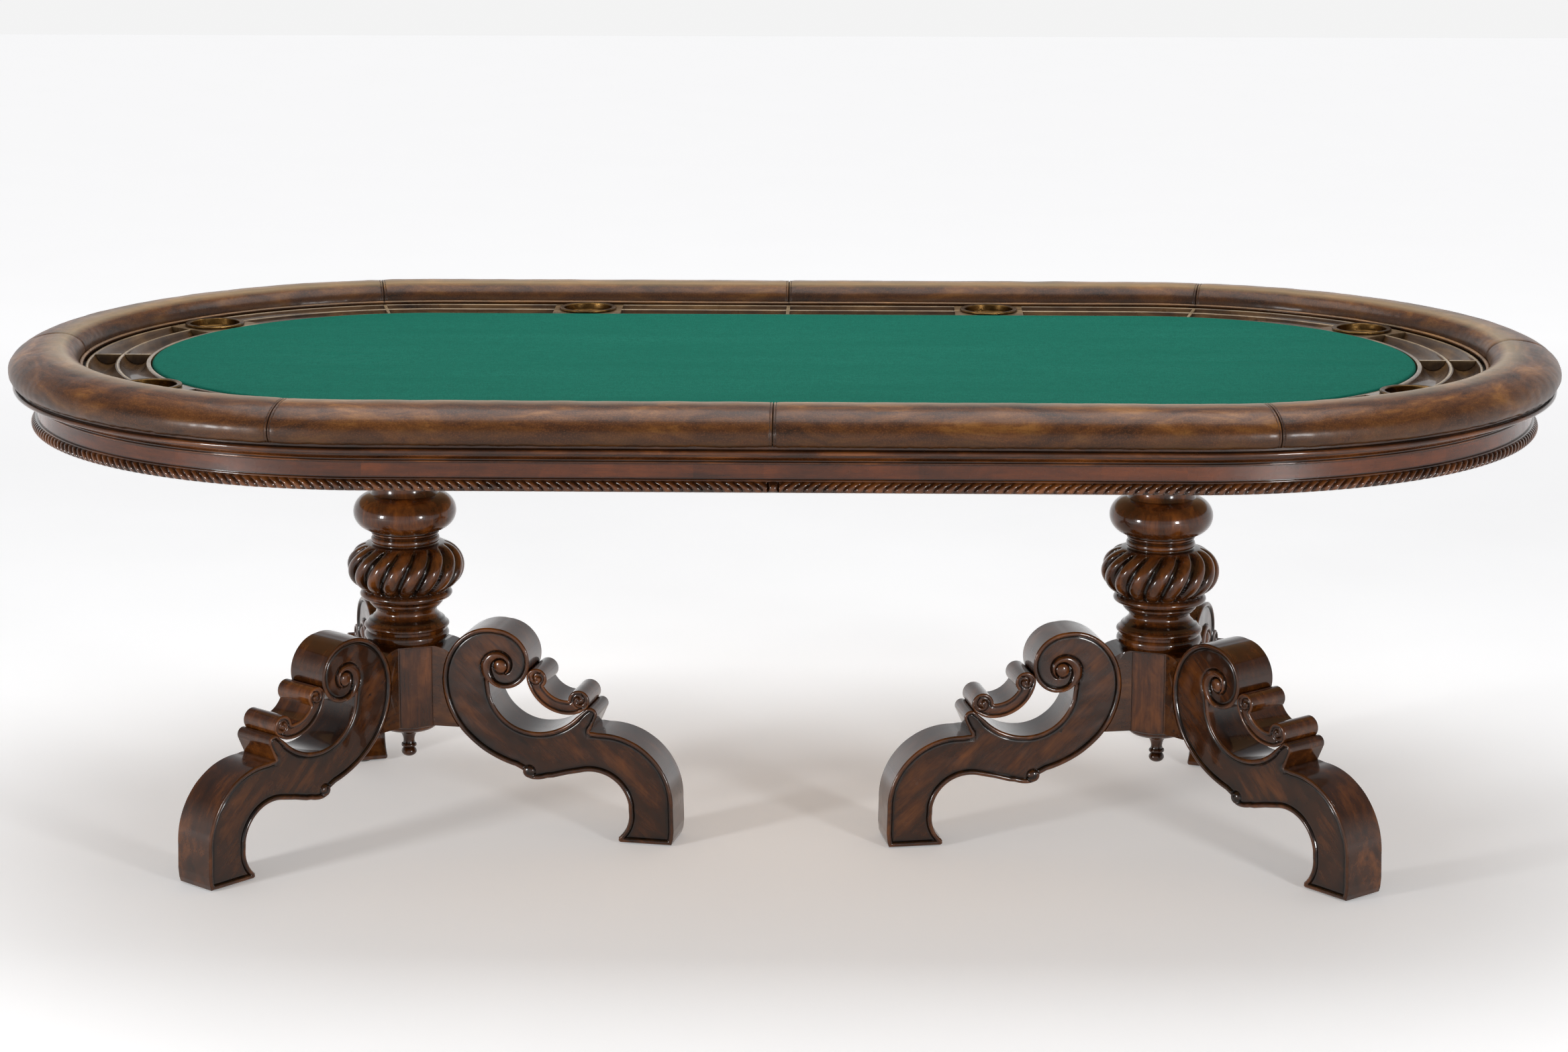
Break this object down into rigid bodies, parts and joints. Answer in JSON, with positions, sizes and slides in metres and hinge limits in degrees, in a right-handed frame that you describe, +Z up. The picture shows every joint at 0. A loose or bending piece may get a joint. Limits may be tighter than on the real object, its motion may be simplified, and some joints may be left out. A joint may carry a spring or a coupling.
{
  "type": "poker table",
  "caption": "Oval poker table with a padded leather rail, felt top, double chip troughs, drop-in brass cup holders and turned pedestals on scrolled legs.",
  "frame": {"origin": "on the floor, under the middle of the table", "axes": "+X along the table's length to the right, +Y across it to the far side, +Z up"},
  "size_m": [2.37, 1.22, 0.785],
  "materials": {
    "lacquered_wood": "dark reddish walnut stain with a dark glaze in the recesses, small dents and a glossy lacquer",
    "plywood": "plain plywood and softwood, unfinished, edges stained dark",
    "leather": "burnished mottled brown leather, semi-gloss, double-stitched seams",
    "foam": "soft open-cell foam",
    "braid": "dark glossy braid",
    "felt_cloth": "green woven wool cloth, matt with a slight sheen",
    "antique_brass": "brushed antique brass, darkened in the well",
    "steel": "zinc-plated steel",
    "glide_felt": "dense felt"
  },
  "bodies": {
    "table": {"deck_board": "plywood", "bearers": "plywood", "apron_front": "lacquered_wood", "apron_back": "lacquered_wood", "apron_left": "lacquered_wood", "apron_right": "lacquered_wood", "gadroon_moulding": "lacquered_wood", "cornice_moulding": "lacquered_wood", "rail_base": "plywood", "rail_foam": "foam", "rail_panel_1": "leather", "rail_panel_2": "leather", "rail_panel_3": "leather", "rail_panel_4": "leather", "rail_panel_5": "leather", "rail_panel_6": "leather", "rail_panel_7": "leather", "rail_panel_8": "leather", "rail_welt": "leather", "rail_gimp": "braid", "play_board": "plywood", "play_pad": "foam", "play_cloth": "felt_cloth", "rack_1": "lacquered_wood", "rack_2": "lacquered_wood", "rack_3": "lacquered_wood", "rack_4": "lacquered_wood", "rack_5": "lacquered_wood", "rack_6": "lacquered_wood", "rack_7": "lacquered_wood", "rack_8": "lacquered_wood", "rack_dividers": "lacquered_wood", "left_mounting_plate": "plywood", "right_mounting_plate": "plywood", "left_column": "lacquered_wood", "right_column": "lacquered_wood", "left_hub": "lacquered_wood", "right_hub": "lacquered_wood", "left_finial": "lacquered_wood", "right_finial": "lacquered_wood", "left_leg_inner": "lacquered_wood", "left_leg_front": "lacquered_wood", "left_leg_back": "lacquered_wood", "right_leg_inner": "lacquered_wood", "right_leg_front": "lacquered_wood", "right_leg_back": "lacquered_wood", "left_brackets": "lacquered_wood", "right_brackets": "lacquered_wood", "tie_rods": "steel", "leg_bolts": "steel", "floor_glides": "glide_felt", "mounting_screws": "steel"},
    "cup_holder_1": {"cup_1": "antique_brass"},
    "cup_holder_2": {"cup_2": "antique_brass"},
    "cup_holder_3": {"cup_3": "antique_brass"},
    "cup_holder_4": {"cup_4": "antique_brass"},
    "cup_holder_5": {"cup_5": "antique_brass"},
    "cup_holder_6": {"cup_6": "antique_brass"},
    "cup_holder_7": {"cup_7": "antique_brass"},
    "cup_holder_8": {"cup_8": "antique_brass"}
  },
  "joints": [
    {"name": "cup_1_lift", "type": "slide", "parent": "table", "child": "cup_holder_1", "axis": [0, 0, 1], "range_m": [0, 0.08]},
    {"name": "cup_2_lift", "type": "slide", "parent": "table", "child": "cup_holder_2", "axis": [0, 0, 1], "range_m": [0, 0.08]},
    {"name": "cup_3_lift", "type": "slide", "parent": "table", "child": "cup_holder_3", "axis": [0, 0, 1], "range_m": [0, 0.08]},
    {"name": "cup_4_lift", "type": "slide", "parent": "table", "child": "cup_holder_4", "axis": [0, 0, 1], "range_m": [0, 0.08]},
    {"name": "cup_5_lift", "type": "slide", "parent": "table", "child": "cup_holder_5", "axis": [0, 0, 1], "range_m": [0, 0.08]},
    {"name": "cup_6_lift", "type": "slide", "parent": "table", "child": "cup_holder_6", "axis": [0, 0, 1], "range_m": [0, 0.08]},
    {"name": "cup_7_lift", "type": "slide", "parent": "table", "child": "cup_holder_7", "axis": [0, 0, 1], "range_m": [0, 0.08]},
    {"name": "cup_8_lift", "type": "slide", "parent": "table", "child": "cup_holder_8", "axis": [0, 0, 1], "range_m": [0, 0.08]}
  ]
}
